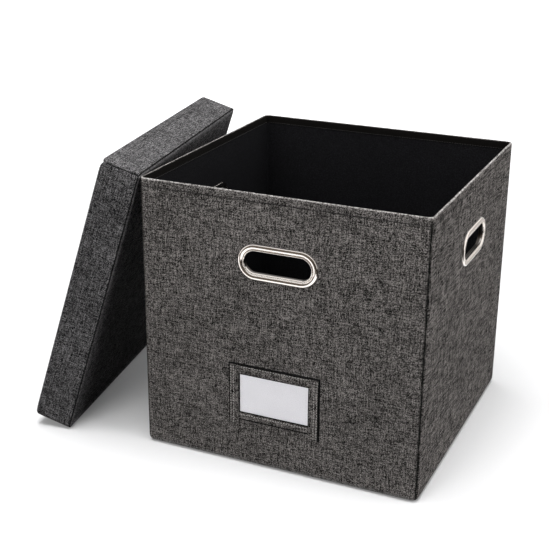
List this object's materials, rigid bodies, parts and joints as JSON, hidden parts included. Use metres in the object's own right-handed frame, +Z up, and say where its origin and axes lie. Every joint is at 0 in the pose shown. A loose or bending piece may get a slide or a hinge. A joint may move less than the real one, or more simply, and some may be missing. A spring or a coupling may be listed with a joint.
{
  "type": "record carrying case",
  "caption": "Square fabric-covered carrying case for records, with oval metal grips, a card holder on the front and a loose lift-off lid leaning on its side.",
  "frame": {"origin": "middle of the case's underside, on the floor", "axes": "+Z up, +Y from the front with the label holder to the back, +X to the right seen from the front; the lid leans on the left side"},
  "size_m": [0.5542, 0.3786, 0.3579],
  "materials": {
    "linen": "matte charcoal linen weave",
    "lining": "matte black lining cloth",
    "board": "plain grey chipboard",
    "grip_metal": "polished nickel plate",
    "card": "blank pale card",
    "film": "clear film"
  },
  "bodies": {
    "case": {"front_cover": "linen", "right_cover": "linen", "back_cover": "linen", "left_cover": "linen", "bottom_cover": "linen", "front_board": "board", "right_board": "board", "back_board": "board", "left_board": "board", "bottom_board": "board", "lining": "lining", "front_grip": "grip_metal", "right_grip": "grip_metal", "left_grip": "grip_metal", "front_grip_ring": "grip_metal", "right_grip_ring": "grip_metal", "left_grip_ring": "grip_metal", "label_frame": "linen", "label_film": "film"},
    "card": {"label_card": "card"},
    "base_insert": {"base_insert_cover": "lining", "base_insert_board": "board"},
    "lid": {"lid_top_cover": "linen", "lid_front_cover": "linen", "lid_right_cover": "linen", "lid_back_cover": "linen", "lid_left_cover": "linen", "lid_top_board": "board", "lid_front_board": "board", "lid_right_board": "board", "lid_back_board": "board", "lid_left_board": "board", "lid_lining": "lining"}
  },
  "joints": [
    {"name": "lid_lift", "type": "slide", "parent": "case", "child": "lid", "axis": [0, 0, 1], "range_m": [0, 0.36]},
    {"name": "base_insert_lift", "type": "slide", "parent": "case", "child": "base_insert", "axis": [0, 0, 1], "range_m": [0, 0.34]},
    {"name": "card_slide", "type": "slide", "parent": "case", "child": "card", "axis": [0, 0, 1], "range_m": [0, 0.07]}
  ]
}
